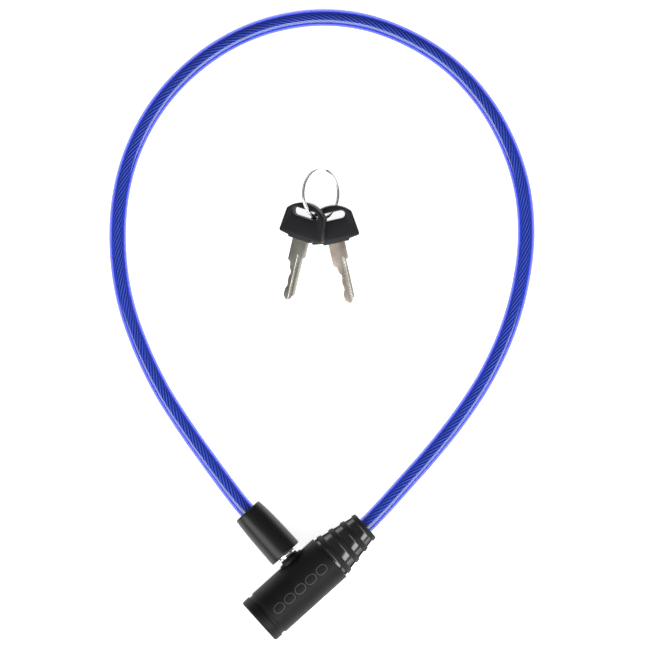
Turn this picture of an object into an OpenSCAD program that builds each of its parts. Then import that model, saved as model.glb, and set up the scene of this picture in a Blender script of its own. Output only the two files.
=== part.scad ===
// Cable lock: a round key-operated lock body with a plastic coated wire rope.
// One end of the rope is anchored in the rubber boot, the other end carries a tapered
// sleeve and a grooved bolt that plugs into the side of the body. Two keys lie on a ring.
//
// The barrel's axis is X, from the key end towards the boot. The bolt's axis is Y.
// The lock lies on its side, so Z is up. The origin is the centre of the key-end face.

/* [Barrel] */
// Outer diameter of the barrel
barrel_d = 23.4; // [23.2:0.1:24.4]
// Length of the barrel up to the rubber boot
barrel_len = 44.4; // [44.2:0.1:44.8]
// Length of the cap ring at the key end
collar_len = 4.4; // [3.8:0.1:4.8]
// Width of the groove between the cap ring and the barrel
collar_gap = 1.8; // [1.2:0.1:2]
// Distance from the key end to the bolt's axis
bolt_x = 30.5; // [30.4:0.1:30.8]

/* [Boot] */
// Length of the rubber boot
boot_len = 22.2; // [20:0.1:26]
// Radius of the first rib of the boot
boot_r = 11.2; // [11:0.1:11.6]
// Number of ribs on the boot
rib_count = 4; // [3:1:5]
// Distance from one rib to the next
rib_pitch = 6.15; // [5.4:0.05:6.4]
// Width of a rib
rib_w = 2.6; // [2:0.1:3.2]
// Depth of the grooves between the ribs
rib_depth = 0.65; // [0.4:0.05:1]

/* [Key cylinder] */
// Diameter of the turning plug
plug_d = 10.6; // [10.2:0.1:11]
// Number of wafers in the plug
wafer_count = 5; // [3:1:5]
// Distance from one wafer to the next
wafer_pitch = 2.9; // [2.5:0.1:2.9]
// Lift that the snail cam gives the latch
cam_lift = 1.5; // [1.2:0.1:1.6]

/* [Bolt and sleeve] */
// Diameter of the locking bolt
bolt_d = 8; // [7.4:0.1:8]
// Gap between the barrel and the sleeve
sleeve_gap = 3.3; // [3:0.1:4]
// Length of the tapered sleeve
sleeve_len = 26.8; // [26:0.1:30]
// Diameter of the sleeve at the bolt end
sleeve_big_d = 16.3; // [15.8:0.1:17.5]
// Diameter of the sleeve at the cable end
sleeve_small_d = 14; // [13.4:0.1:15]

/* [Cable] */
// Outer diameter of the coated cable
cable_d = 8; // [7.6:0.1:8]
// Diameter of the wire rope inside the coating
rope_d = 3.4; // [3.2:0.1:4.2]

/* [Keys] */
// Outer diameter of the split ring
ring_d = 24; // [23.8:0.1:24.2]
// Thickness of a key's bow
bow_t = 4.2; // [3.8:0.1:4.2]
// Thickness of a key's blade
blade_t = 2; // [1.6:0.1:2.2]
// Length of a key from the top of its bow to its tip
key_len = 46.4; // [45:0.2:48]
// Depth of the five cuts from the bow to the tip
key_cuts = [0.4, 1.5, 1.0, 1.3, 0.5]; // [0:0.1:1.6]

/* [Hidden] */

fine = 96;          // facets of a large turned piece
small = 48;         // facets of a small turned piece
free_fit = 0.05;    // radial clearance between pieces that slide or turn
barrel_r = barrel_d / 2;
shell_bore_r = 10.25;
casing_r = shell_bore_r - free_fit;
casing_x = 1.7;
casing_end = 46;
neck_r = 7.5;
neck_end = 54;
shell_x = collar_len + collar_gap;
groove_r = barrel_r - 0.55;
cap_round = 1.2;
floor_z = -barrel_r;

plug_r = plug_d / 2;
plug_head_r = plug_r + 0.9;
plug_head_x = 3.2;
plug_end = 22;
keyway_w = 2.4;
keyway_h = 8;
retain_x = 21;
cam_x = 22.2;
cam_t = 1.8;
wafer_t = 1;
wafer_w = 5.6;
wafer_x = 6.2;

bolt_r = bolt_d / 2;
bolt_core_r = 2.75;
bolt_groove_w = 2.9;
bolt_nose_y = -7;
latch_t = 2.4;
latch_x = 22.7;
latch_end = bolt_x + 4;
latch_z = bolt_r + 0.3;
latch_h = 2.5;
cam_top_r = latch_z - 0.25;
cover_z = 9;
cover_t = 0.9;
spring_xs = [26, 32.4];

boss_r = 4.4;
boss_top = 13.5;
stud_r = 3;
sleeve_y = barrel_r + sleeve_gap;
sleeve_end = sleeve_y + sleeve_len;
flange_r = 5.8;
ferrule_r = 5.5;
ferrule_y = 16.6;
ferrule_end = 38;
cross_pin_y = 21;
cross_pin_r = 0.75;

cable_r = cable_d / 2;
rope_r = rope_d / 2;
boot_end = barrel_len + boot_len;
boot_slope = 0.189;
rib_x = 45.8;
anchor_r = 4.55;
anchor_x = 37;
anchor_end = 53;
anchor_pin_x = 40;
anchor_pin_r = 1.2;

// ---- small helpers ----

// A solid turned about X from a closed outline of [x, radius] points
module turned_x(outline, facets = fine)
    rotate([0, 90, 0])
        rotate_extrude($fn = facets)
            polygon([for (p = outline) [p[1], p[0]]]);

// A solid turned about Y from a closed outline of [y, radius] points
module turned_y(outline, facets = fine)
    rotate([-90, 0, 0])
        rotate_extrude($fn = facets)
            polygon([for (p = outline) [p[1], p[0]]]);

// A round bar along X
module bar_x(x0, x1, r, facets = small)
    translate([x0, 0, 0])
        rotate([0, 90, 0])
            cylinder(h = x1 - x0, r = r, $fn = facets);

// A round bar along Y
module bar_y(y0, y1, r, facets = small)
    translate([0, y0, 0])
        rotate([-90, 0, 0])
            cylinder(h = y1 - y0, r = r, $fn = facets);

// A box from its lowest to its highest corner
module block(low, high)
    translate(low)
        cube(high - low);

// Points of a quarter or other arc about c, from angle a0 to a1
function arc(c, r, a0, a1, steps) =
    [for (i = [0:steps]) let (a = a0 + (a1 - a0) * i / steps) c + r * [cos(a), sin(a)]];

function unit(v) = v / norm(v);

// Triangles that skin rings of n points each, from the first to the last ring
function skin(rings, n, first = 0, flip = false) =
    [for (i = [0:rings - 2], j = [0:n - 1])
        let (a = first + i * n + j, b = first + i * n + (j + 1) % n)
            each flip
                ? [[a, a + n, b + n], [a, b + n, b]]
                : [[a, b, b + n], [a, b + n, a + n]]];

// One ring of points of radius r about the frame f = [centre, side, up]
function ring_of(f, r, n) =
    [for (j = [0:n - 1]) let (a = 360 * j / n) f[0] + r * (f[1] * cos(a) + f[2] * sin(a))];

// A round wire swept along a list of frames
module wire(frames, r, n) {
    count = len(frames);
    polyhedron(
        points = [for (f = frames) each ring_of(f, r, n)],
        faces = concat(
            [[for (j = [n - 1:-1:0]) j]],
            skin(count, n),
            [[for (j = [0:n - 1]) (count - 1) * n + j]]
        ),
        convexity = 12
    );
}

// A round hose swept along a list of frames
module hose(frames, r, bore_r, n) {
    count = len(frames);
    inner = count * n;
    polyhedron(
        points = concat(
            [for (f = frames) each ring_of(f, r, n)],
            [for (f = frames) each ring_of(f, bore_r, n)]
        ),
        faces = concat(
            skin(count, n),
            skin(count, n, inner, true),
            [for (j = [0:n - 1]) [j, inner + j, inner + (j + 1) % n, (j + 1) % n]],
            [for (j = [0:n - 1]) let (a = (count - 1) * n, k = (j + 1) % n)
                [a + j, a + k, inner + a + k, inner + a + j]]
        ),
        convexity = 12
    );
}

// A coil spring about Z, from z0 up to z1
module coil(r, wire_r, z0, z1, turns, turn_steps) {
    steps = turn_steps * turns;
    frames = [for (i = [0:steps])
        let (a = 360 * turns * i / steps, z = z0 + wire_r + (z1 - z0 - 2 * wire_r) * i / steps)
            [[r * cos(a), r * sin(a), z], [cos(a), sin(a), 0], [0, 0, 1]]];
    wire([for (i = [steps:-1:0]) frames[i]], wire_r, 6);
}

// ---- the cable's route ----

// Centreline of the cable, from inside the boot, along the floor and into the sleeve
route = [
    [47.5, 0, 0], [57, 0, 0], [67, 0, 0], [78, 0.8, -0.4], [93, 2.4, -1.6],
    [112, 4.6, -3.7], [133, 8.2, -6], [154.5, 14, -7.4], [175.5, 23, -7.7],
    [194.5, 35, -7.7], [211.5, 50, -7.7], [225, 68, -7.7], [234, 88.5, -7.7],
    [238.5, 110.5, -7.7], [238, 133, -7.7], [232, 154.5, -7.7], [221.5, 174, -7.7],
    [206.5, 190, -7.7], [187.5, 202, -7.7], [166.5, 209, -7.7], [144, 211, -7.7],
    [122, 208, -7.7], [101, 200, -7.7], [82.5, 187.5, -7.7], [66.5, 171, -7.7],
    [54, 152.5, -7.7], [45, 132, -7.6], [38.5, 110, -6.8], [34.8, 88, -4.8],
    [32.6, 69, -2.4], [31.2, 55, -0.8], [30.5, 46, -0.1], [30.5, 40, 0], [30.5, 33.5, 0]
];
ring_gap = 11.5;       // longest distance from one ring of the tube to the next

// A point of the smooth curve through a, b, c, d, between b and c
function between(a, b, c, d, t) =
    0.5 * (2 * b + (c - a) * t + (2 * a - 5 * b + 4 * c - d) * t * t
        + (3 * b - a - 3 * c + d) * t * t * t);

function smooth(p) =
    let (last = len(p) - 1)
    [for (i = [0:last - 1])
        let (
            a = i > 0 ? p[i - 1] : 2 * p[0] - p[1],
            d = i < last - 1 ? p[i + 2] : 2 * p[last] - p[last - 1],
            steps = ceil(norm(p[i + 1] - p[i]) / ring_gap)
        )
        for (k = [0:steps - 1]) between(a, p[i], p[i + 1], d, k / steps),
     p[last]];

// Frames along a curve whose section stays upright
function upright(p) =
    let (last = len(p) - 1)
    [for (i = [0:last])
        let (
            ahead = unit(p[min(i + 1, last)] - p[max(i - 1, 0)]),
            side = unit(cross(ahead, [0, 0, 1]))
        )
        [p[i], side, cross(side, ahead)]];

cable_frames = upright(smooth(route));

// ---- lock body ----

module key_end_collar()
    color([0.1, 0.1, 0.11])
    turned_x(concat(
        [[0, plug_head_r + 0.3]],
        arc([cap_round, barrel_r - 0.05 - cap_round], cap_round, 180, 90, 8),
        [
            [collar_len - 0.3, barrel_r - 0.05], [collar_len, barrel_r - 0.35],
            [collar_len, groove_r], [shell_x, groove_r], [shell_x, shell_bore_r],
            [casing_x, shell_bore_r], [casing_x, plug_head_r + 0.3]
        ]
    ));

module housing_shell()
    color([0.1, 0.1, 0.11])
    difference() {
        turned_x([
            [shell_x, shell_bore_r], [shell_x, barrel_r - 0.4], [shell_x + 0.4, barrel_r],
            [barrel_len - 0.4, barrel_r], [barrel_len, barrel_r - 0.4],
            [barrel_len, shell_bore_r]
        ]);
        translate([bolt_x, 0, 0]) bar_y(5, barrel_r + 2, boss_r);
    }

module inner_casing()
    color([0.62, 0.63, 0.65])
    difference() {
        union() {
            bar_x(casing_x, casing_end, casing_r, fine);
            bar_x(casing_end, neck_end, neck_r, fine);
        }
        // seat and bore of the plug, with four grooves that the wafers drop into
        bar_x(casing_x - 1, plug_head_x + 0.1, plug_head_r + free_fit);
        bar_x(casing_x, plug_end + 0.1, plug_r + free_fit);
        for (turn = [0, 90])
            rotate([turn, 0, 0])
                block([4.6, -wafer_w / 2 - 0.15, -plug_r - 0.8],
                      [19.4, wafer_w / 2 + 0.15, plug_r + 0.8]);
        // chamber of the cam, and the latch's channel, which opens upwards
        bar_x(plug_end, 25.8, plug_r + 0.5);
        block([latch_x - 0.3, -latch_t / 2 - free_fit, 0],
              [latch_end + 0.3, latch_t / 2 + free_fit, casing_r + 1]);
        // socket of the bolt
        translate([bolt_x, 0, 0]) bar_y(bolt_nose_y - 0.5, casing_r + 1, bolt_r + free_fit);
        // seat of the cable's anchor, and the holes of the two pins
        bar_x(anchor_x - 0.2, neck_end + 1, anchor_r + free_fit);
        translate([anchor_pin_x, 0, 0])
            translate([0, 0, -casing_r - 1])
                cylinder(h = 2 * casing_r + 2, r = anchor_pin_r + 0.02, $fn = small);
        translate([retain_x, plug_r - 0.1, -casing_r])
            cylinder(h = 2 * casing_r, r = 0.52, $fn = small);
    }

module latch_cover()
    color([0.7, 0.71, 0.73])
    block([latch_x - 0.25, -latch_t / 2, cover_z],
          [latch_end + 0.25, latch_t / 2, cover_z + cover_t]);

module retaining_pin()
    color([0.75, 0.76, 0.78])
    translate([retain_x, plug_r - 0.1, -8])
        cylinder(h = 16, r = 0.5, $fn = small);

module boss_bush()
    color([0.08, 0.08, 0.09])
    difference() {
        translate([bolt_x, 0, 0])
            turned_y([
                [9, bolt_r + 0.12], [9, boss_r - 0.05], [9.6, boss_r - 0.05], [9.6, 6.2],
                [12.1, 6.2], [12.3, 5.9], [12.3, boss_r], [boss_top - 0.4, boss_r],
                [boss_top, boss_r - 0.4], [boss_top, bolt_r + 0.12]
            ]);
        // the bush stops on the casing, and its flare lies on the barrel
        bar_x(bolt_x - 8, bolt_x + 8, casing_r + 0.1, fine);
        difference() {
            bar_x(bolt_x - 8, bolt_x + 8, barrel_r + 0.05, fine);
            translate([bolt_x, 0, 0]) bar_y(5, 20, boss_r - 0.05);
        }
    }

module cable_boot() {
    // outline of the ribs, from the barrel to the cable
    ribs = [for (i = [0:rib_count - 1])
        let (
            a = rib_x + i * rib_pitch,
            b = min(a + rib_w, boot_end),
            ra = boot_r - (a - rib_x) * boot_slope,
            rb = boot_r - (b - rib_x) * boot_slope
        )
        each [[a, ra - rib_depth], [a, ra - 0.3], [a + 0.3, ra], [b - 0.3, rb],
              [b, rb - 0.3], [b, rb - rib_depth]]];
    color([0.12, 0.12, 0.13])
    turned_x(concat(
        [[casing_end + 0.1, neck_r + 0.05], [casing_end + 0.1, shell_bore_r],
         [barrel_len + 0.05, shell_bore_r], [barrel_len + 0.05, boot_r - rib_depth + 0.3]],
        ribs,
        [[boot_end, boot_r - (boot_end - rib_x) * boot_slope - rib_depth],
         [boot_end, cable_r + free_fit],
         [neck_end + 0.1, cable_r + free_fit], [neck_end + 0.1, neck_r + 0.05]]
    ));
}

module cable_anchor()
    color([0.6, 0.61, 0.63])
    difference() {
        turned_x([
            [anchor_x, 0], [anchor_x, anchor_r - 0.4], [anchor_x + 0.4, anchor_r],
            [anchor_end, anchor_r], [anchor_end, cable_r + 0.03],
            [47.2, cable_r + 0.03], [47.2, rope_r + 0.03], [43.8, rope_r + 0.03], [43.8, 0]
        ], small);
        translate([anchor_pin_x, 0, -anchor_r - 1])
            cylinder(h = 2 * anchor_r + 2, r = anchor_pin_r + 0.02, $fn = small);
    }

module anchor_pin()
    color([0.75, 0.76, 0.78])
    translate([anchor_pin_x, 0, -9])
        cylinder(h = 18, r = anchor_pin_r, $fn = small);

module latch_springs()
    color([0.78, 0.79, 0.8])
    for (x = spring_xs)
        translate([x, 0, 0])
            coil(0.85, 0.18, latch_z + latch_h + 0.03, cover_z - 0.03, 4, 14);

module cable_sheath()
    color([0.08, 0.16, 0.8])
    hose(cable_frames, cable_r, rope_r + 0.2, 12);

module wire_rope() {
    // the rope runs on past the coating into both crimped pieces
    first = cable_frames[0];
    last = cable_frames[len(cable_frames) - 1];
    color([0.2, 0.22, 0.3])
    wire(concat(
        [[first[0] - [3.5, 0, 0], first[1], first[2]]],
        cable_frames,
        [[last[0] - [0, 6.5, 0], last[1], last[2]]]
    ), rope_r, 8);
}

// ---- key cylinder ----

module key_plug()
    color([0.8, 0.74, 0.55])
    difference() {
        union() {
            bar_x(0.3, plug_head_x, plug_head_r);
            bar_x(plug_head_x, plug_end, plug_r);
            bar_x(plug_end, cam_x + cam_t, 1.6);
        }
        block([0, -keyway_w / 2, -keyway_h / 2], [20, keyway_w / 2, keyway_h / 2]);
        for (i = [0:wafer_count - 1])
            block([wafer_x + i * wafer_pitch - 0.05, -wafer_w / 2 - 0.05, -plug_r - 1],
                  [wafer_x + i * wafer_pitch + wafer_t + 0.05, wafer_w / 2 + 0.05, plug_r + 1]);
        // groove that the retaining pin runs in
        difference() {
            bar_x(retain_x - 0.7, retain_x + 0.7, plug_r + 1);
            bar_x(retain_x - 1, retain_x + 1, plug_r - 0.7);
        }
        bar_x(plug_end - 1.5, cam_x + cam_t + 1, 0.85);
    }

// The wafers, each with a window for the key and a foot for its spring
module wafers()
    color([0.83, 0.7, 0.4])
    for (i = [0:wafer_count - 1])
        difference() {
            intersection() {
                block([wafer_x + i * wafer_pitch, -wafer_w / 2, -plug_r],
                      [wafer_x + i * wafer_pitch + wafer_t, wafer_w / 2, plug_r]);
                bar_x(wafer_x - 1, plug_end, plug_r - 0.05);
            }
            block([0, -keyway_w / 2, -2.9], [plug_end, keyway_w / 2, 2.9]);
            // notch that leaves room for the spring
            block([0, 1.6, -plug_r - 1], [plug_end, wafer_w, 0.2]);
        }

module wafer_springs()
    color([0.78, 0.79, 0.8])
    for (i = [0:wafer_count - 1])
        translate([wafer_x + i * wafer_pitch + wafer_t / 2, 2.2, 0])
            coil(0.4, 0.14, -3.4, 0.15, 4, 10);

// Snail cam: its radius grows evenly with the angle, so the latch lifts evenly
module cam() {
    low_r = cam_top_r - cam_lift - 0.05;
    outline = [for (a = [-140:10:220])
        let (r = a < 0 ? low_r : a > 90 ? cam_top_r : low_r + (cam_top_r - low_r) * a / 90)
            r * [cos(a), sin(a)]];
    color([0.7, 0.71, 0.73])
    difference() {
        translate([cam_x, 0, 0])
            rotate([90, 0, 90])
                linear_extrude(height = cam_t - 0.1)
                    polygon(outline);
        bar_x(cam_x - 1, cam_x + cam_t + 1, 1.62);
    }
}

module cam_screw()
    color([0.75, 0.76, 0.78])
    difference() {
        union() {
            bar_x(plug_end - 1.2, cam_x + cam_t, 0.8);
            bar_x(cam_x + cam_t, cam_x + cam_t + 1.1, 1.9);
        }
        block([cam_x + cam_t + 0.6, -0.25, -3], [cam_x + cam_t + 2, 0.25, 3]);
    }

module latch()
    color([0.72, 0.73, 0.75])
    block([latch_x, -latch_t / 2, latch_z], [latch_end, latch_t / 2, latch_z + latch_h]);

// ---- bolt end ----

module locking_bolt()
    color([0.88, 0.89, 0.9])
    translate([bolt_x, 0, 0])
        difference() {
            turned_y(concat(
                [[bolt_nose_y, 0], [bolt_nose_y, bolt_r - 1.2], [bolt_nose_y + 0.5, bolt_r - 0.5],
                 [bolt_nose_y + 1.4, bolt_r]],
                [for (end = [-1, 1]) each end < 0
                    ? [[-bolt_groove_w / 2, bolt_r], [-bolt_groove_w / 2, bolt_core_r]]
                    : [[bolt_groove_w / 2, bolt_core_r], [bolt_groove_w / 2, bolt_r]]],
                [[16.5, bolt_r], [16.5, stud_r], [24, stud_r], [24.5, stud_r - 0.5], [24.5, 0]]
            ), small);
            translate([0, cross_pin_y, -stud_r - 1])
                cylinder(h = 2 * stud_r + 2, r = cross_pin_r + 0.02, $fn = small);
        }

module bolt_flange()
    color([0.86, 0.87, 0.88])
    translate([bolt_x, 0, 0])
        turned_y([
            [14.2, bolt_r + 0.02], [14.2, flange_r - 0.2], [14.4, flange_r],
            [15.2, flange_r], [15.4, flange_r - 0.2], [15.4, bolt_r + 0.02]
        ], small);

module bolt_ferrule()
    color([0.6, 0.61, 0.63])
    translate([bolt_x, 0, 0])
        difference() {
            turned_y([
                [ferrule_y, stud_r + 0.02], [ferrule_y, ferrule_r], [ferrule_end, ferrule_r],
                [ferrule_end, cable_r + 0.03], [33.2, cable_r + 0.03],
                [33.2, rope_r + 0.03], [24.8, rope_r + 0.03], [24.8, stud_r + 0.02]
            ], small);
            translate([0, cross_pin_y, -ferrule_r - 1])
                cylinder(h = 2 * ferrule_r + 2, r = cross_pin_r + 0.02, $fn = small);
        }

module bolt_cross_pin()
    color([0.75, 0.76, 0.78])
    translate([bolt_x, cross_pin_y, -ferrule_r + 0.2])
        cylinder(h = 2 * ferrule_r - 0.4, r = cross_pin_r, $fn = small);

// The sleeve swells quickly from the cable end, and then evenly towards the bolt
module bolt_sleeve() {
    big = sleeve_big_d / 2;
    small_r = sleeve_small_d / 2;
    swell = [for (i = [0:12])
        let (t = i / 12, y = sleeve_y + 0.5 + (sleeve_len - 1.5) * t)
            [y, big - (big - small_r) * (0.35 * t + 0.65 * pow(t, 4))]];
    color([0.11, 0.11, 0.12])
    translate([bolt_x, 0, 0])
        turned_y(concat(
            [[sleeve_y, 6.6], [sleeve_y, big - 0.4]],
            swell,
            arc([sleeve_end - 0.9, small_r - 0.9], 0.9, 80, 0, 5),
            [[sleeve_end, cable_r + free_fit], [ferrule_end + 0.1, cable_r + free_fit],
             [ferrule_end + 0.1, ferrule_r + 0.05], [16.5, ferrule_r + 0.05], [16.5, 6.6]]
        ));
}

// ---- keys and ring, in a frame of their own that stands on the floor ----

ring_place = [153.9, 127.9, floor_z];
ring_turn = -42;
ring_lean = 45;
wire_w = 1.1;       // radial width of the ring's flat wire
wire_t = 0.6;       // thickness of the ring's flat wire
ring_mid_r = (ring_d - wire_w) / 2;
ring_z = 9;

module on_the_floor()
    translate(ring_place)
        rotate([0, 0, ring_turn])
            children();

// Two flat turns of wire, with a step from one to the other where the ends meet
module split_ring() {
    turns = [0.06, 1.94];
    steps = 72;
    function climb(t) = t < 0.94 ? 0 : t > 1.06 ? 1 : (t - 0.94) / 0.12;
    frames = [for (i = [0:steps])
        let (
            t = turns[0] + (turns[1] - turns[0]) * i / steps,
            a = 90 + 360 * t,
            out = [cos(a), sin(a), 0]
        )
        [ring_mid_r * out + [0, 0, (climb(t) - 0.5) * (wire_t + 0.04)], out]];
    section = [[1, -0.6], [1, 0.6], [0.7, 1], [-0.7, 1], [-1, 0.6], [-1, -0.6], [-0.7, -1], [0.7, -1]];
    n = len(section);
    color([0.78, 0.78, 0.76])
    on_the_floor()
        translate([0, 0, ring_z])
            rotate([0, ring_lean, 0])
                polyhedron(
                    points = [for (f = frames, s = section)
                        f[0] + f[1] * s[0] * wire_w / 2 + [0, 0, s[1] * wire_t / 2]],
                    faces = concat(
                        [[for (j = [0:n - 1]) j]],
                        skin(steps + 1, n, 0, true),
                        [[for (j = [n - 1:-1:0]) steps * n + j]]
                    ),
                    convexity = 6
                );
}

// A key's own frame: the top of the bow is at the origin, the tip points to -Y
bow_half = 11.3;
bow_h = 17.5;
bow_outline = concat(
    arc([0, -12.95], 12.95, 140, 40, 16),
    arc([bow_half - 1.1, -15], 1.1, 8, -75, 5),
    [[6.4, -16.6], [5.8, -bow_h], [-5.8, -bow_h], [-6.4, -16.6]],
    arc([1.1 - bow_half, -15], 1.1, 255, 172, 5)
);
slot_half = 4.8;
slot_r = 1.9;
slot_y = -4.9;
blade_half = 3.9;   // half the width of the blade above its cuts
cut_pitch = 2.9;
cut_y = -30.6;

// The blade's outline: a wide shoulder, then the cuts on the -X side down to the tip
blade_outline = concat(
    [[blade_half, -9], [blade_half, -25.2], [2.8, -25.9], [2.8, 3 - key_len], [0.7, -key_len],
     [-0.4, -key_len], [-2, 1.8 - key_len]],
    [for (i = [len(key_cuts) - 1:-1:0])
        let (y = cut_y - i * cut_pitch, x = key_cuts[i] - 2.5)
            each [[x, y - 0.6], [x, y + 0.6]]],
    [[-2.5, -28.7], [-blade_half, -27.8], [-blade_half, -9]]
);

module key_bow()
    difference() {
        translate([0, 0, -bow_t / 2])
            linear_extrude(height = bow_t)
                difference() {
                    polygon(bow_outline);
                    translate([0, slot_y])
                        union() {
                            for (side = [-1, 1])
                                translate([side * slot_half, 0]) circle(r = slot_r, $fn = small);
                            square([2 * slot_half, 2 * slot_r], center = true);
                        }
                }
        // pocket of the blade
        block([-blade_half - 0.02, -bow_h - 1, -blade_t / 2 - 0.02],
              [blade_half + 0.02, -8.98, blade_t / 2 + 0.02]);
    }

module key_blade()
    difference() {
        translate([0, 0, -blade_t / 2])
            linear_extrude(height = blade_t)
                polygon(blade_outline);
        // milled grooves along both faces
        for (side = [-1, 1])
            translate([0, 0, side * blade_t / 2])
                block([0.4, -key_len - 1, -0.45], [2, -24.6, 0.45]);
    }

module place_key_1()
    on_the_floor()
        translate([-5.4, -4.5, 11.5])
            rotate([0, 0, -12.9])
                rotate([11, 0, 0])
                    rotate([0, -25.3, 0])
                        children();

module place_key_2()
    on_the_floor()
        translate([3.5, -5.7, 7.1])
            rotate([0, 0, 12.5])
                rotate([7.5, 0, 0])
                    children();

module key_1_bow() color([0.1, 0.1, 0.12]) place_key_1() key_bow();
module key_1_blade() color([0.55, 0.55, 0.52]) place_key_1() key_blade();
module key_2_bow() color([0.1, 0.1, 0.12]) place_key_2() key_bow();
module key_2_blade() color([0.6, 0.56, 0.5]) place_key_2() key_blade();

housing_shell();
inner_casing();
key_end_collar();
boss_bush();
latch_cover();
retaining_pin();
cable_boot();
cable_anchor();
anchor_pin();
latch_springs();
cable_sheath();
wire_rope();
key_plug();
cam();
cam_screw();
wafer_springs();
wafers();
latch();
locking_bolt();
bolt_flange();
bolt_ferrule();
bolt_cross_pin();
bolt_sleeve();
split_ring();
key_1_bow();
key_1_blade();
key_2_bow();
key_2_blade();
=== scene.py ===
"""The looks of the cable lock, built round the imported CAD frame, in metres and in its frame.

X runs along the barrel from the key end to the boot, Y along the bolt, and Z is up."""
import math

import bmesh
import bpy
from mathutils import Matrix, Vector


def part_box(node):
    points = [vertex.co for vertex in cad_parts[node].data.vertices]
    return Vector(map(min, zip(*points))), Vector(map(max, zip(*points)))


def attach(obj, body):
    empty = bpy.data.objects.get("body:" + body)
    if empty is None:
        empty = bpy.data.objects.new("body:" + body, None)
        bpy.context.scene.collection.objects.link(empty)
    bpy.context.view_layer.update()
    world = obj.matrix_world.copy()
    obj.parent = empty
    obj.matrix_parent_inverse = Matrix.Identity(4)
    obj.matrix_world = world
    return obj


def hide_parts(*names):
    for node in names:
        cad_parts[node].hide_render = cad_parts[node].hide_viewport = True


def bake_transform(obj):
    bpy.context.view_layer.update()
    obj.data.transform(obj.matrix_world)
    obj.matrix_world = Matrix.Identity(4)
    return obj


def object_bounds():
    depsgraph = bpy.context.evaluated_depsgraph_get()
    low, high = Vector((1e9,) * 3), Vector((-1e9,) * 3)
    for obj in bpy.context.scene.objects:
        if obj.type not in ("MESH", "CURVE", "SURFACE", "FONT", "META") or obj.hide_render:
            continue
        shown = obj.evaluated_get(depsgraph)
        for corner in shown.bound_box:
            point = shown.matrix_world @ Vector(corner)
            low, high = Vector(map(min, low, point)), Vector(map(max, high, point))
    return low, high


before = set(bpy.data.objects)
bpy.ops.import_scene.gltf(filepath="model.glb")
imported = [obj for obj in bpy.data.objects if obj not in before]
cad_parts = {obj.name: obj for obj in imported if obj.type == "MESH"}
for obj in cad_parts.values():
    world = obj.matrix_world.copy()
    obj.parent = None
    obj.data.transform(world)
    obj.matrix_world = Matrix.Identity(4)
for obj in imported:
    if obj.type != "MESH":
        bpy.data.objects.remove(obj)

MM = 0.001
cad_low, cad_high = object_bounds()
floor_z = cad_low.z

# ---- sizes from the frame, and the cable's own ----

shell_low, shell_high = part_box("housing_shell")
collar_low, collar_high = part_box("key_end_collar")
boss_low, boss_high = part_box("boss_bush")
boot_low, boot_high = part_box("cable_boot")
bolt_low, bolt_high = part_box("locking_bolt")
flange_low, flange_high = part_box("bolt_flange")
sleeve_low, sleeve_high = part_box("bolt_sleeve")
casing_low, casing_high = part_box("inner_casing")
ferrule_low, ferrule_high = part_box("bolt_ferrule")

barrel_r = shell_high.z
bolt_x = (bolt_low.x + bolt_high.x) / 2
bolt_r = (bolt_high.x - bolt_low.x) / 2
casing_r = casing_high.z
gap = 0.05 * MM              # between pieces that fit into each other
bolt_shoulder = 16.5 * MM    # where the bolt steps down inside the sleeve
cable_d = 8 * MM
cable_r = cable_d / 2
rope_r = 1.7 * MM

# The cable's route, as in the solids
route = [
    [0.0475, 0, 0], [0.057, 0, 0], [0.067, 0, 0], [0.078, 0.0008, -0.0004],
    [0.093, 0.0024, -0.0016], [0.112, 0.0046, -0.0037], [0.133, 0.0082, -0.006],
    [0.1545, 0.014, -0.0074], [0.1755, 0.023, -0.0077], [0.1945, 0.035, -0.0077],
    [0.2115, 0.05, -0.0077], [0.225, 0.068, -0.0077], [0.234, 0.0885, -0.0077],
    [0.2385, 0.1105, -0.0077], [0.238, 0.133, -0.0077], [0.232, 0.1545, -0.0077],
    [0.2215, 0.174, -0.0077], [0.2065, 0.19, -0.0077], [0.1875, 0.202, -0.0077],
    [0.1665, 0.209, -0.0077], [0.144, 0.211, -0.0077], [0.122, 0.208, -0.0077],
    [0.101, 0.2, -0.0077], [0.0825, 0.1875, -0.0077], [0.0665, 0.171, -0.0077],
    [0.054, 0.1525, -0.0077], [0.045, 0.132, -0.0076], [0.0385, 0.11, -0.0068],
    [0.0348, 0.088, -0.0048], [0.0326, 0.069, -0.0024], [0.0312, 0.055, -0.0008],
    [0.0305, 0.046, -0.0001], [0.0305, 0.04, 0], [0.0305, 0.0335, 0],
]


# ---- the camera and the light ----

picture_turn = -42        # degrees from X to the picture's right
view_turn = math.radians(picture_turn)
view_centre = Vector((0.1147, 0.0815, 0))
view_width = 0.30056      # metres across the picture
camera_height = 3
toward_foot = Vector((math.sin(view_turn), -math.cos(view_turn), 0))  # down the picture


def make_camera():
    """Looks straight down on the lock."""
    data = bpy.data.cameras.new("camera")
    data.type = "ORTHO"
    data.ortho_scale = view_width
    data.clip_end = 10
    camera = bpy.data.objects.new("camera", data)
    camera.location = view_centre + Vector((0, 0, camera_height))
    camera.rotation_euler = (0, 0, view_turn)
    bpy.context.scene.collection.objects.link(camera)
    bpy.context.scene.camera = camera


def area_light(name, place, width, height, power):
    """A soft light that looks at the middle of the view."""
    data = bpy.data.lights.new(name, "AREA")
    data.shape = "RECTANGLE"
    data.size = width
    data.size_y = height
    data.energy = power
    light = bpy.data.objects.new(name, data)
    light.location = place
    light.rotation_euler = (view_centre - light.location).to_track_quat("-Z", "Y").to_euler()
    bpy.context.scene.collection.objects.link(light)


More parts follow.
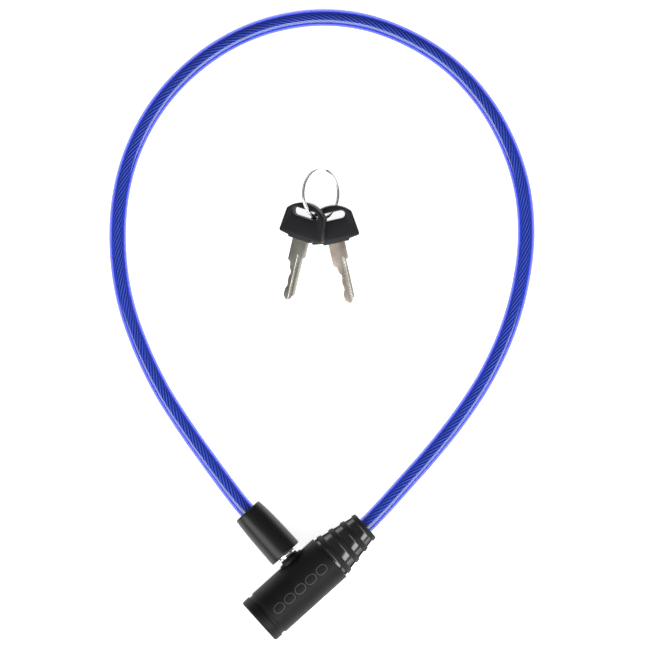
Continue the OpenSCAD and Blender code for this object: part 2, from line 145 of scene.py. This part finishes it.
def make_light():
    """A long soft box past the picture's foot, which draws the streak on round pieces, in a dim
    room."""
    box_away, box_height, box_power = 0.7, 0.75, 29
    box_place = view_centre + box_away * toward_foot + Vector((0, 0, box_height))
    area_light("long_box", box_place, 3.8, 0.7, box_power)
    world = bpy.data.worlds.new("studio")
    bpy.context.scene.world = world
    world.use_nodes = True
    nodes, links = world.node_tree.nodes, world.node_tree.links
    place = nodes.new("ShaderNodeTexCoord")
    split = nodes.new("ShaderNodeSeparateXYZ")
    links.new(place.outputs["Generated"], split.inputs["Vector"])
    # grey above, and as white as the floor below the horizon
    sky = ramp(nodes, links, split.outputs["Z"], [(0, grey(1)), (0.01, grey(0.16))])
    links.new(sky, nodes["Background"].inputs["Color"])
    bpy.context.scene.view_settings.view_transform = "Standard"


def make_floor():
    """White paper, lit by a little light of its own, just under the lock."""
    side = 6
    mesh = bpy.data.meshes.new("floor")
    z = floor_z - 0.1 * MM
    corners = [(-side, -side, z), (side, -side, z), (side, side, z), (-side, side, z)]
    mesh.from_pydata(corners, [], [(0, 1, 2, 3)])
    floor = bpy.data.objects.new("floor", mesh)
    bpy.context.scene.collection.objects.link(floor)
    made, nodes, links, shader = new_material("floor_paper")
    tone = ramp(nodes, links, noise(nodes, links, 40), [(0, grey(0.86)), (1, grey(0.9))])
    links.new(tone, shader.inputs["Base Color"])
    shader.inputs["Roughness"].default_value = 0.9
    shader.inputs["Specular IOR Level"].default_value = 0.1
    shader.inputs["Emission Color"].default_value = (1, 1, 1, 1)
    shader.inputs["Emission Strength"].default_value = 0.85
    mesh.materials.append(made)


# ---- material helpers ----

def new_material(name):
    """A new material, and its nodes, links and shader."""
    made = bpy.data.materials.new(name)
    made.use_nodes = True
    tree = made.node_tree
    return made, tree.nodes, tree.links, tree.nodes["Principled BSDF"]


def noise(nodes, links, scale, detail=4, stretch=(1, 1, 1)):
    """Noise with about this many grains in a metre, times stretch along each axis."""
    place = nodes.new("ShaderNodeTexCoord")
    mapping = nodes.new("ShaderNodeMapping")
    mapping.inputs["Scale"].default_value = stretch
    texture = nodes.new("ShaderNodeTexNoise")
    texture.inputs["Scale"].default_value = scale
    texture.inputs["Detail"].default_value = detail
    links.new(place.outputs["Object"], mapping.inputs["Vector"])
    links.new(mapping.outputs["Vector"], texture.inputs["Vector"])
    return texture.outputs["Fac"]


def ramp(nodes, links, value, stops):
    """Colours or grey levels along a value from 0 to 1."""
    node = nodes.new("ShaderNodeValToRGB")
    elements = node.color_ramp.elements
    while len(elements) < len(stops):
        elements.new(0.5)
    for element, (place, colour) in zip(elements, stops):
        element.position = place
        element.color = (*colour, 1)
    links.new(value, node.inputs["Fac"])
    return node.outputs["Color"]


def grey(level):
    return (level, level, level)


def bump(nodes, links, value, depth, shader):
    """Small relief that follows a value from 0 to 1, about as deep as depth."""
    node = nodes.new("ShaderNodeBump")
    node.inputs["Strength"].default_value = 0.6
    node.inputs["Distance"].default_value = depth
    links.new(value, node.inputs["Height"])
    links.new(node.outputs["Normal"], shader.inputs["Normal"])


def plastic(name, colour, rough, grain=1400, depth=0.02 * MM, spread=0.25, specular=0.5):
    """Moulded plastic or rubber: a fine grain, a cloudy colour and a patchy polish."""
    made, nodes, links, shader = new_material(name)
    dark = [c * (1 - spread) for c in colour]
    light = [c * (1 + spread) for c in colour]
    cloud = noise(nodes, links, 130, 6)
    links.new(ramp(nodes, links, cloud, [(0.3, dark), (0.7, light)]), shader.inputs["Base Color"])
    polish = noise(nodes, links, 60, 3)
    links.new(
        ramp(nodes, links, polish, [(0.3, grey(rough * 0.9)), (0.7, grey(rough * 1.1))]),
        shader.inputs["Roughness"],
    )
    shader.inputs["Specular IOR Level"].default_value = specular
    bump(nodes, links, noise(nodes, links, grain, 2), depth, shader)
    return made


def metal(name, colour, rough, stretch=(1, 1, 1), grain=500, depth=0.004 * MM, spread=0.12):
    """Metal with fine marks, drawn out along the axes that stretch makes small."""
    made, nodes, links, shader = new_material(name)
    dark = [c * (1 - spread) for c in colour]
    light = [min(1, c * (1 + spread)) for c in colour]
    marks = noise(nodes, links, grain, 5, stretch)
    links.new(ramp(nodes, links, marks, [(0.3, dark), (0.7, light)]), shader.inputs["Base Color"])
    stains = noise(nodes, links, 90, 4)
    links.new(
        ramp(nodes, links, stains, [(0.3, grey(rough * 0.8)), (0.75, grey(rough * 1.25))]),
        shader.inputs["Roughness"],
    )
    shader.inputs["Metallic"].default_value = 1
    bump(nodes, links, marks, depth, shader)
    return made


def glossy_rubber():
    """Polished black rubber. It is a dark metal with a dark tint at grazing angles, so that its
    edges stay dark against the paper."""
    made = metal("gloss_rubber", grey(0.12), 0.2)
    shader = made.node_tree.nodes["Principled BSDF"]
    shader.inputs["Specular Tint"].default_value = (0.1, 0.1, 0.1, 1)
    return made


def clear_coating():
    """The blue coating: clear but a little cloudy, under a glossy and faintly wavy skin."""
    made, nodes, links, shader = new_material("coating")
    cloud = noise(nodes, links, 60, 3)
    stops = [(0.3, (0.012, 0.05, 0.68)), (0.7, (0.018, 0.06, 0.76))]
    links.new(ramp(nodes, links, cloud, stops), shader.inputs["Base Color"])
    shader.inputs["Transmission Weight"].default_value = 0.72
    shader.inputs["IOR"].default_value = 1.5
    shader.inputs["Roughness"].default_value = 0.04
    shader.inputs["Coat Weight"].default_value = 0.8
    shader.inputs["Coat IOR"].default_value = 1.6
    shader.inputs["Coat Roughness"].default_value = 0.06
    bump(nodes, links, noise(nodes, links, 40, 1), 0.003 * MM, shader)
    return made


def rope_wire():
    """Galvanised strands, with painted shade in the furrows between them and a painted highlight
    along each strand's crown.
    """
    made, nodes, links, shader = new_material("rope_wire")
    place = nodes.new("ShaderNodeUVMap")
    place.uv_map = "lay"
    split = nodes.new("ShaderNodeSeparateXYZ")
    links.new(place.outputs["UV"], split.inputs["Vector"])
    across = nodes.new("ShaderNodeMath")
    across.operation = "PINGPONG"
    across.inputs[1].default_value = 0.5
    links.new(split.outputs["Y"], across.inputs[0])
    doubled = nodes.new("ShaderNodeMath")
    doubled.operation = "MULTIPLY"
    doubled.inputs[1].default_value = 2
    links.new(across.outputs[0], doubled.inputs[0])
    # painted shade: black in the furrows between strands, rising to a painted highlight of white on
    # each crown
    stops = [(0.2, grey(0)), (0.5, grey(0.2)), (0.8, grey(0.8)), (1, grey(1))]
    links.new(ramp(nodes, links, doubled.outputs[0], stops), shader.inputs["Base Color"])
    shader.inputs["Roughness"].default_value = 0.3
    return made


# ---- mesh helpers ----

def add_piece(name, mesh, body, stands_for=(), materials=()):
    """Puts a mesh in the scene as a piece that rides on a body."""
    piece = bpy.data.objects.new(name, mesh)
    bpy.context.scene.collection.objects.link(piece)
    for m in materials:
        mesh.materials.append(m)
    if body:
        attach(piece, body)
    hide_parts(*stands_for)
    return piece


def smooth_shade(mesh, degrees=32):
    """Smooth faces, with a sharp edge wherever they meet at more than this angle."""
    mesh.shade_smooth()
    mesh.set_sharp_from_angle(angle=math.radians(degrees))


def softened(corners, steps=5):
    """A closed outline from (along, radius, rounding) corners, each rounding drawn as an arc."""
    outline = []
    for i, (along, radius, rounding) in enumerate(corners):
        corner = Vector((along, radius))
        if rounding == 0:
            outline.append(corner)
            continue
        before = Vector(corners[i - 1][:2]) - corner
        after = Vector(corners[(i + 1) % len(corners)][:2]) - corner
        half = before.angle(after) / 2
        reach = min(rounding / math.tan(half), 0.49 * before.length, 0.49 * after.length)
        r = reach * math.tan(half)
        inward = (before.normalized() + after.normalized()).normalized()
        middle = corner + inward * r / math.sin(half)
        first = corner + before.normalized() * reach - middle
        last = corner + after.normalized() * reach - middle
        for k in range(steps + 1):
            t = k / steps
            outline.append(middle + (first * (1 - t) + last * t).normalized() * r)
    return outline


def turned(name, outline, along_y=False, at_x=0.0, steps=128, shiny=None):
    """A closed outline of (along, radius) points turned about X, or about Y at x = at_x.
    A face whose middle passes the test shiny(along, radius) gets the second material."""
    mesh = bpy.data.meshes.new(name)
    points, rings = [], []
    for along, radius in outline:
        count = steps if radius > 1e-7 else 1
        rings.append((len(points), count))
        for j in range(count):
            a = 2 * math.pi * j / steps
            side, up = radius * math.cos(a), radius * math.sin(a)
            points.append((at_x + side, along, up) if along_y else (along, side, up))
    faces, second = [], []
    for i, (a, a_count) in enumerate(rings):
        b, b_count = rings[(i + 1) % len(rings)]
        if a_count == 1 and b_count == 1:
            continue
        along = (outline[i][0] + outline[(i + 1) % len(outline)][0]) / 2
        radius = (outline[i][1] + outline[(i + 1) % len(outline)][1]) / 2
        chosen = 1 if shiny and shiny(along, radius) else 0
        for j in range(steps):
            k = (j + 1) % steps
            face = [a + j % a_count, a + k % a_count, b + k % b_count, b + j % b_count]
            faces.append(list(dict.fromkeys(face)))
            second.append(chosen)
    mesh.from_pydata(points, [], faces)
    mesh.polygons.foreach_set("material_index", second)
    fix_normals(mesh)
    smooth_shade(mesh)
    return mesh


def fix_normals(mesh, weld=False):
    """Turns all faces outward. With weld, points in one place are joined first."""
    work = bmesh.new()
    work.from_mesh(mesh)
    if weld:
        bmesh.ops.remove_doubles(work, verts=work.verts, dist=0.001 * MM)
    bmesh.ops.recalc_face_normals(work, faces=work.faces)
    work.to_mesh(mesh)
    work.free()
    mesh.update()


def finished_mesh(thing):
    """A mesh of a curve, or of an object with its modifiers."""
    evaluated = thing.evaluated_get(bpy.context.evaluated_depsgraph_get())
    return bpy.data.meshes.new_from_object(evaluated)


# ---- the cable ----

def between(a, b, c, d, t):
    """A point of the smooth curve through a, b, c and d, between b and c."""
    return 0.5 * (
        2 * b + (c - a) * t + (2 * a - 5 * b + 4 * c - d) * t * t
        + (3 * b - a - 3 * c + d) * t * t * t
    )


def smooth_line(points, spacing):
    """Points of the smooth curve through a list of points, about this far apart or less."""
    p = [Vector(q) for q in points]
    p = [2 * p[0] - p[1], *p, 2 * p[-1] - p[-2]]
    line = []
    for i in range(1, len(p) - 2):
        steps = math.ceil((p[i + 1] - p[i]).length / spacing)
        for k in range(steps):
            line.append(between(p[i - 1], p[i], p[i + 1], p[i + 2], k / steps))
    return [*line, p[-2]]


def swept(name, line, radius_at, around, layer=None):
    """A tube along a line. radius_at(along, turn) is its radius at a distance along the line and
    at a share of a turn. layer names a UV layer that holds the layer_value of each place."""
    points, faces, far = [], [], []
    walked = 0.0
    for i, p in enumerate(line):
        if i:
            walked += (p - line[i - 1]).length
        far.append(walked)
        ahead = (line[min(i + 1, len(line) - 1)] - line[max(i - 1, 0)]).normalized()
        side = ahead.cross(Vector((0, 0, 1))).normalized()
        up = side.cross(ahead)
        for j in range(around):
            a = 2 * math.pi * j / around
            r = radius_at(walked, j / around)
            points.append(p + r * (side * math.cos(a) + up * math.sin(a)))
    corners = []
    for i in range(len(line) - 1):
        for j in range(around):
            k = (j + 1) % around
            a, b = i * around, (i + 1) * around
            faces.append((a + j, b + j, b + k, a + k))
            corners.append(((i, j), (i + 1, j), (i + 1, j + 1), (i, j + 1)))
    last = (len(line) - 1) * around
    faces.append(tuple(range(around)))
    faces.append(tuple(range(last + around - 1, last - 1, -1)))
    mesh = bpy.data.meshes.new(name)
    mesh.from_pydata(points, [], faces)
    if layer:
        flat = []
        for face in corners:
            for i, j in face:
                flat += layer_value(far[i], j / around)
        flat += [0.0] * (2 * 2 * around)      # two values for each corner of the two ends
        mesh.uv_layers.new(name=layer).data.foreach_set("uv", flat)
    smooth_shade(mesh, 60)
    return mesh


strands = 9
lay_length = 28 * MM      # along the rope in one turn of a strand
furrow_depth = 0.26 * MM


def strand_phase(along, turn):
    """Which strand is here, with the furrow at whole numbers."""
    return strands * (turn + along / lay_length)


def layer_value(along, turn):
    """What the UV layer says there: turns of the lay, and the strand."""
    return along / lay_length, strand_phase(along, turn)


def rope_radius(along, turn):
    """The round strands' outline."""
    return rope_r - furrow_depth * (1 - abs(math.sin(math.pi * strand_phase(along, turn))))


def make_cable():
    """The rope, which reaches into the anchor and the ferrule, and the coating round it."""
    into_anchor, into_ferrule = 3.4 * MM, 6.4 * MM
    fine = smooth_line(route, 1 * MM)
    plain = smooth_line(route, 2.5 * MM)
    start, end = fine[0], fine[-1]
    core = [start - Vector((into_anchor, 0, 0)), *fine, end - Vector((0, into_ferrule, 0))]
    rope_mesh = swept("rope_strands", core, rope_radius, 6 * strands, "lay")
    rope = add_piece("rope_strands", rope_mesh, None, ["wire_rope"], [rope_wire()])
    coat_mesh = swept("cable_coating", plain, lambda along, turn: cable_r, 40)
    coating = clear_coating()
    coat = add_piece("cable_coating", coat_mesh, None, ["cable_sheath"], [coating])
    coat.visible_shadow = False      # light reaches the rope through the coating
    for piece in (coat, rope):
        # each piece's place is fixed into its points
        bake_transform(piece)


# ---- the lock body ----

def cut_away(mesh, tool_mesh):
    """The mesh without what lies in the tool. The cut faces take the tool's material."""
    tool = bpy.data.objects.new("tool", tool_mesh)
    body = bpy.data.objects.new("work", mesh)
    for o in (tool, body):
        bpy.context.scene.collection.objects.link(o)
    cut = body.modifiers.new("cut", "BOOLEAN")
    cut.object = tool
    cut.operation = "DIFFERENCE"
    cut.solver = "EXACT"
    cut.material_mode = "TRANSFER"
    result = finished_mesh(body)
    for o in (tool, body):
        bpy.data.objects.remove(o)
    smooth_shade(result)
    return result


def make_shell(material):
    """The barrel's tube, with the hole for the boss."""
    bore = casing_r + gap
    x0, x1 = shell_low.x, shell_high.x
    edge, rings = 0.45 * MM, 12
    outer = [(x0 + (x1 - x0) * i / rings, barrel_r, 0) for i in range(1, rings)]
    outline = softened([
        (x0, bore, 0), (x0, barrel_r, edge), *outer, (x1, barrel_r, edge), (x1, bore, 0),
    ])
    mesh = turned("barrel_shell", outline, steps=160)
    hole_r, hole_start, hole_end = 4.4 * MM, 5 * MM, 14 * MM
    hole = [(hole_start, 0), (hole_start, hole_r), (hole_end, hole_r), (hole_end, 0)]
    tool = turned("tool", hole, True, bolt_x, 64)
    for m in (mesh, tool):
        m.materials.append(material)
    add_piece("barrel_shell", cut_away(mesh, tool), "lock_body", ["housing_shell"])


def make_collar(material):
    """The cap at the key end, with the groove behind its lip."""
    bore, mouth = casing_r + gap, 6.5 * MM
    face, lip = collar_low.x, collar_high.z
    lip_end, groove_end, groove_r = 4.4 * MM, shell_low.x, lip - 0.5 * MM
    outline = softened([
        (face, mouth, 0.2 * MM), (face, lip, 1.2 * MM), (lip_end, lip, 0.35 * MM),
        (lip_end, groove_r, 0.15 * MM), (groove_end, groove_r, 0),
        (groove_end, bore, 0), (casing_low.x, bore, 0), (casing_low.x, mouth, 0),
    ])
    mesh = turned("key_end_cap", outline, steps=160)
    add_piece("key_end_cap", mesh, "lock_body", ["key_end_collar"], [material])


def make_boss(material):
    """The raised bush round the bolt's hole, with a wide foot that sinks into the barrel."""
    top, mouth = boss_high.y, bolt_r + 0.12 * MM
    foot_start, foot_end, foot_r = 10.4 * MM, 12.3 * MM, 6.2 * MM
    outline = softened([
        (foot_start, mouth, 0), (foot_start, foot_r, 0), (foot_end, foot_r, 0.5 * MM),
        (foot_end, 4.45 * MM, 0.25 * MM), (top, 4.4 * MM, 0.4 * MM), (top, mouth, 0.15 * MM),
    ])
    mesh = turned("bolt_boss", outline, True, bolt_x, 96)
    add_piece("bolt_boss", mesh, "lock_body", ["boss_bush"], [material])


def make_boot(ribs_material, groove_material):
    """Four matte ribs on a glossy cone, over the casing's end and its neck."""
    ribs, pitch, width = 4, 6.15 * MM, 2.6 * MM
    depth = 0.65 * MM         # of the grooves between the ribs
    first_x, first_r, slope = 45.8 * MM, 11.2 * MM, 0.189
    start, end = shell_high.x + gap, boot_high.x
    casing_end, wide = 46.1 * MM, casing_r + gap
    neck_end, neck = casing_high.x + 0.1 * MM, 7.55 * MM
    hole = cable_r + gap

    def cone(x):
        return first_r - (x - first_x) * slope

    # the last rib ends with the boot
    corners = [
        (casing_end, neck, 0), (casing_end, wide, 0), (start, wide, 0),
        (start, cone(first_x) - depth + 0.3 * MM, 0.2 * MM),
    ]
    for i in range(ribs):
        a = first_x + i * pitch
        b = min(a + width, end)
        corners += [
            (a, cone(a) - depth, 0.3 * MM), (a + 0.25 * MM, cone(a), 0.6 * MM),
            (b - 0.25 * MM, cone(b), 0.6 * MM), (b, cone(b) - depth, 0.3 * MM),
        ]
    corners += [(end, hole, 0.2 * MM), (neck_end, hole, 0), (neck_end, neck, 0)]
    outline = softened(corners)
    grooves = [(first_x + i * pitch + width, first_x + (i + 1) * pitch) for i in range(ribs - 1)]
    grooves.append((start, first_x))

    def in_groove(along, radius):
        return any(a < along < b and radius < cone(along) - 0.5 * depth for a, b in grooves)

    mesh = turned("cable_boot_ribs", outline, steps=128, shiny=in_groove)
    add_piece(
        "cable_boot_ribs", mesh, "lock_body", ["cable_boot"],
        [ribs_material, groove_material],
    )


def make_mark(material):
    """A row of plain chain links in outline along the barrel, where such locks carry a mark."""
    count, first, pitch = 5, 11.4 * MM, 6.6 * MM
    length, height, line = 5.7 * MM, 4.3 * MM, 0.3 * MM
    offset = -1.6 * MM        # of the row from the top of the barrel
    above, below = barrel_r + 0.03 * MM, barrel_r - 0.05 * MM
    section = ((0, above), (line, above), (line, below), (0, below))
    steps = 10
    ring = []
    for side, start_angle in ((1, -90), (-1, 90)):
        for k in range(steps + 1):
            ring.append((side, math.radians(start_angle + 180 * k / steps)))
    points, faces = [], []
    for i in range(count):
        base = len(points)
        for side, angle in ring:
            for inset, lift in section:
                r = height / 2 - inset
                x = first + i * pitch + side * (length - height) / 2 + r * math.cos(angle)
                a = (offset + r * math.sin(angle)) / barrel_r
                points.append((x, lift * math.sin(a), lift * math.cos(a)))
        for n in range(len(ring)):
            here, ahead = base + 4 * n, base + 4 * ((n + 1) % len(ring))
            for j in range(4):
                k = (j + 1) % 4
                faces.append((here + j, here + k, ahead + k, ahead + j))
    mesh = bpy.data.meshes.new("link_mark")
    mesh.from_pydata(points, [], faces)
    fix_normals(mesh)
    add_piece("link_mark", mesh, "lock_body", [], [material])


# ---- the bolt and its sleeve ----

def make_bolt(material):
    """The pin, with the latch's groove on the barrel's axis and a thin end inside the sleeve."""
    nose, end = bolt_low.y, bolt_high.y
    groove_half, groove_r, thin_r = 1.45 * MM, 2.75 * MM, 3 * MM
    outline = softened([
        (nose, 0, 0), (nose, bolt_r, 1.2 * MM),
        (-groove_half, bolt_r, 0.2 * MM), (-groove_half, groove_r, 0.15 * MM),
        (groove_half, groove_r, 0.15 * MM), (groove_half, bolt_r, 0.2 * MM),
        (bolt_shoulder, bolt_r, 0.1 * MM), (bolt_shoulder, thin_r, 0),
        (end, thin_r, 0.5 * MM), (end, 0, 0),
    ])
    mesh = turned("chrome_bolt", outline, True, bolt_x, 96)
    add_piece("chrome_bolt", mesh, "bolt", ["locking_bolt"], [material])


def make_flange(material):
    """The wider washer against the sleeve."""
    edge = (flange_high.x - flange_low.x) / 2
    y0, y1, bore = flange_low.y, flange_high.y, bolt_r + 0.02 * MM
    outline = softened([
        (y0, bore, 0), (y0, edge, 0.3 * MM), (y1, edge, 0.3 * MM), (y1, bore, 0),
    ])
    mesh = turned("chrome_flange", outline, True, bolt_x, 96)
    add_piece("chrome_flange", mesh, "bolt", ["bolt_flange"], [material])


def make_sleeve(material):
    """A hollow sleeve that tapers slowly at first and faster near the cable."""
    y0, y1 = sleeve_low.y, sleeve_high.y
    big, small = (sleeve_high.x - sleeve_low.x) / 2, 7 * MM
    mouth, hole = 6.6 * MM, cable_r + gap
    tube = (ferrule_high.x - ferrule_low.x) / 2 + gap
    tube_end = ferrule_high.y + 0.1 * MM
    corners = [(y0, mouth, 0.2 * MM), (y0, big - 0.1 * MM, 0.45 * MM)]
    steps = 16
    for i in range(1, steps):
        t = i / steps
        narrowing = 0.35 * t + 0.65 * t ** 4
        corners.append((y0 + (y1 - y0) * t, big - (big - small) * narrowing, 0))
    corners += [
        (y1, small, 0.9 * MM), (y1, hole, 0.3 * MM), (tube_end, hole, 0), (tube_end, tube, 0),
        (bolt_shoulder, tube, 0), (bolt_shoulder, mouth, 0),
    ]
    mesh = turned("tapered_sleeve", softened(corners), True, bolt_x, 128)
    add_piece("tapered_sleeve", mesh, "bolt", ["bolt_sleeve"], [material])


# ---- keys and ring ----

def moved(x, y, z):
    """A move by so many millimetres."""
    return Matrix.Translation((x * MM, y * MM, z * MM))


def turned_by(axis, degrees):
    """A turn about an axis through the origin."""
    return Matrix.Rotation(math.radians(degrees), 4, axis)


# Where ring and keys lie, as in the solids. A key's own frame starts at the middle of its bow's
# top, with the blade along -Y.
on_the_floor = Matrix.Translation((153.9 * MM, 127.9 * MM, floor_z)) @ turned_by("Z", picture_turn)
ring_place = on_the_floor @ moved(0, 0, 9) @ turned_by("Y", 45)
key_1_lean = turned_by("Z", -12.9) @ turned_by("X", 11) @ turned_by("Y", -25.3)
key_1_place = on_the_floor @ moved(-5.4, -4.5, 11.5) @ key_1_lean
key_2_place = on_the_floor @ moved(3.5, -5.7, 7.1) @ turned_by("Z", 12.5) @ turned_by("X", 7.5)


def arc(centre, r, a0, a1, steps):
    """Points of an arc from angle a0 to a1, in degrees."""
    angles = [math.radians(a0 + (a1 - a0) * i / steps) for i in range(steps + 1)]
    return [(centre[0] + r * math.cos(a), centre[1] + r * math.sin(a)) for a in angles]


def moulded_plate(name, outlines, thickness, rounding):
    """A plate from an outline and its holes, in millimetres, with all its edges rounded."""
    curve = bpy.data.curves.new(name, "CURVE")
    curve.dimensions = "2D"
    curve.fill_mode = "BOTH"
    for outline in outlines:
        spline = curve.splines.new("POLY")
        spline.points.add(len(outline) - 1)
        for point, (x, y) in zip(spline.points, outline):
            point.co = (x * MM, y * MM, 0, 1)
        spline.use_cyclic_u = True
    curve.offset = -rounding * MM
    curve.bevel_depth = rounding * MM
    curve.bevel_resolution = 3
    curve.extrude = (thickness / 2 - rounding) * MM
    maker = bpy.data.objects.new(name, curve)
    bpy.context.scene.collection.objects.link(maker)
    mesh = finished_mesh(maker)
    bpy.data.objects.remove(maker)
    fix_normals(mesh, weld=True)
    smooth_shade(mesh, 40)
    return mesh


def bow_outlines():
    """The bow's outline and its slot in millimetres: an arched top, and a foot like a trapezium."""
    half = 11.3
    outer = (
        arc((0, -12.95), 12.95, 140, 40, 28) + arc((half - 1.1, -15), 1.1, 8, -75, 6)
        + [(6.4, -16.6), (5.8, -17.5), (-5.8, -17.5), (-6.4, -16.6)]
        + arc((1.1 - half, -15), 1.1, 255, 172, 6)
    )
    slot = arc((4.8, -4.9), 1.9, -90, 90, 12) + arc((-4.8, -4.9), 1.9, 90, 270, 12)
    return [outer, slot]


def blade_outline():
    """The blade's outline in millimetres: a wide shoulder, then the cuts down to the tip."""
    half, root, tip = 3.9, -9, -46.4
    cuts, first_cut, pitch = [0.4, 1.5, 1.0, 1.3, 0.5], -30.6, 2.9
    back, edge = 2.8, -2.5
    outline = [
        (half, root), (half, -25.2), (back, -25.9), (back, tip + 3), (0.7, tip), (-0.4, tip),
        (-2, tip + 1.8),
    ]
    for i in range(len(cuts) - 1, -1, -1):
        for step in (-0.6, 0.6):
            outline.append((edge + cuts[i], first_cut - pitch * i + step))
    return outline + [(edge, -28.7), (-half, -27.8), (-half, root)]


def groove_tool(side):
    """A long bar with a lopsided V section that mills one groove into one face of a blade."""
    low, high = 0.4 * MM, 2 * MM
    section = [(low, 1.2), (low, 0.6), (low + 0.25 * MM, 0.55), (high, 0.85), (high, 1.2)]
    n = len(section)
    points = [(x, y * MM, side * z * MM) for y in (-48, -24.6) for x, z in section]
    faces = [[k, (k + 1) % n, n + (k + 1) % n, n + k] for k in range(n)]
    faces += [list(range(n)), list(range(n, 2 * n))]
    mesh = bpy.data.meshes.new("groove")
    mesh.from_pydata(points, [], faces)
    fix_normals(mesh)
    return mesh


def make_blade(name, place, body, node, material, groove_material):
    """A flat blade with a groove milled into each face."""
    mesh = moulded_plate(name, [blade_outline()], 2, 0.12)
    mesh.materials.append(material)
    for side in (-1, 1):
        tool = groove_tool(side)
        tool.materials.append(groove_material)
        mesh = cut_away(mesh, tool)
    mesh.transform(place)
    add_piece(name, mesh, body, [node])


def make_bow(name, place, body, node, material):
    """A key's plastic head."""
    mesh = moulded_plate(name, bow_outlines(), 4.2, 0.6)
    mesh.transform(place)
    add_piece(name, mesh, body, [node], [material])


def make_ring(material):
    """Two turns of flat wire with rounded edges, and a step from one to the other."""
    mid_r, wide, thick = 11.45 * MM, 1.1 * MM, 0.6 * MM
    steps, section_steps = 240, 16
    first, last = 0.06, 1.94      # turns, from one end of the wire to the other
    rise = thick + 0.04 * MM      # from one turn to the other
    step_start, step_length = 0.94, 0.12
    points, faces = [], []
    for i in range(steps + 1):
        t = first + (last - first) * i / steps
        climb = min(1, max(0, (t - step_start) / step_length))
        a = math.radians(90 + 360 * t)
        out = Vector((math.cos(a), math.sin(a), 0))
        middle = mid_r * out + Vector((0, 0, (climb - 0.5) * rise))
        for k in range(section_steps):
            b = 2 * math.pi * k / section_steps
            across = math.copysign(abs(math.cos(b)) ** 0.5, math.cos(b)) * wide / 2
            up = math.copysign(abs(math.sin(b)) ** 0.5, math.sin(b)) * thick / 2
            points.append(ring_place @ (middle + out * across + Vector((0, 0, up))))
    for i in range(steps):
        for k in range(section_steps):
            n = (k + 1) % section_steps
            a, b = i * section_steps, (i + 1) * section_steps
            faces.append((a + k, b + k, b + n, a + n))
    faces.append(tuple(range(section_steps)))
    faces.append(tuple(range((steps + 1) * section_steps - 1, steps * section_steps - 1, -1)))
    mesh = bpy.data.meshes.new("key_ring")
    mesh.from_pydata(points, [], faces)
    fix_normals(mesh)
    smooth_shade(mesh, 50)
    add_piece("key_ring", mesh, "ring", ["split_ring"], [material])


# ---- CAD nodes that keep their shape ----

def keep(node, material, rounding=0.0):
    """Gives a CAD node a material and, where rounding is set, small rounded edges."""
    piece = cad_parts[node]
    if not piece.material_slots:
        piece.data.materials.append(material)
    for slot in piece.material_slots:
        slot.material = material
    if rounding:
        weld = piece.modifiers.new("weld", "WELD")
        weld.merge_threshold = 0.001 * MM
        bevel = piece.modifiers.new("bevel", "BEVEL")
        bevel.width = rounding
        bevel.segments = 2
        bevel.limit_method = "ANGLE"
        bevel.angle_limit = math.radians(40)


def make_kept_nodes():
    """The works inside the barrel and the sleeve."""
    casting = metal("zinc_casting", (0.5, 0.51, 0.53), 0.45, grain=900, depth=0.02 * MM)
    plated = metal("plated_steel", (0.66, 0.67, 0.7), 0.3)
    spring = metal("spring_wire", (0.6, 0.6, 0.62), 0.25, grain=900)
    nickel = metal("nickel_plug", (0.72, 0.7, 0.65), 0.22, (1, 0.15, 1))
    brass = metal("brass_wafers", (0.78, 0.6, 0.28), 0.3)
    keep("inner_casing", casting)
    for node in (
        "latch_cover", "retaining_pin", "anchor_pin", "cam_screw", "bolt_cross_pin",
        "cable_anchor", "bolt_ferrule",
    ):
        keep(node, plated)
    for node in ("cam", "latch"):
        keep(node, plated, 0.1 * MM)
    for node in ("latch_springs", "wafer_springs"):
        keep(node, spring)
    keep("key_plug", nickel, 0.12 * MM)
    keep("wafers", brass, 0.06 * MM)


# ---- everything ----

make_camera()
make_light()
make_floor()
make_cable()

black = plastic("black_plastic", grey(0.005), 0.5, specular=0.22)
satin = plastic("satin_plastic", (0.006, 0.006, 0.007), 0.34, specular=0.4)
rubber = plastic("black_rubber", grey(0.01), 0.6, grain=900, depth=0.03 * MM, specular=0.3)
gloss = glossy_rubber()
printed = plastic("mark_paint", (0.075, 0.075, 0.07), 0.6)
bow_black = plastic("bow_plastic", (0.007, 0.007, 0.01), 0.42, grain=1100, specular=0.4)
chrome = metal("chrome", (0.9, 0.9, 0.91), 0.08)
ring_metal = metal("ring_steel", (0.75, 0.75, 0.72), 0.18)
grey_key = metal("key_metal_grey", (0.3, 0.29, 0.25), 0.32, (0.3, 0.3, 1), 700)
warm_key = metal("key_metal_warm", (0.5, 0.43, 0.37), 0.32, (0.3, 0.3, 1), 700)
# the grooves' metal is painted far lighter than the blade's: a painted reflection on the milled
# walls
groove_painted_reflection = metal("key_groove_painted_reflection", (0.85, 0.82, 0.75), 0.25, (0.3, 0.3, 1), 700)

make_shell(black)
make_collar(black)
make_boss(black)
make_boot(rubber, gloss)
make_mark(printed)
make_bolt(chrome)
make_flange(chrome)
make_sleeve(satin)
make_ring(ring_metal)
make_bow("bow_left", key_1_place, "key_1", "key_1_bow", bow_black)
make_bow("bow_right", key_2_place, "key_2", "key_2_bow", bow_black)
make_blade("blade_left", key_1_place, "key_1", "key_1_blade", grey_key, groove_painted_reflection)
make_blade("blade_right", key_2_place, "key_2", "key_2_blade", warm_key, groove_painted_reflection)
make_kept_nodes()
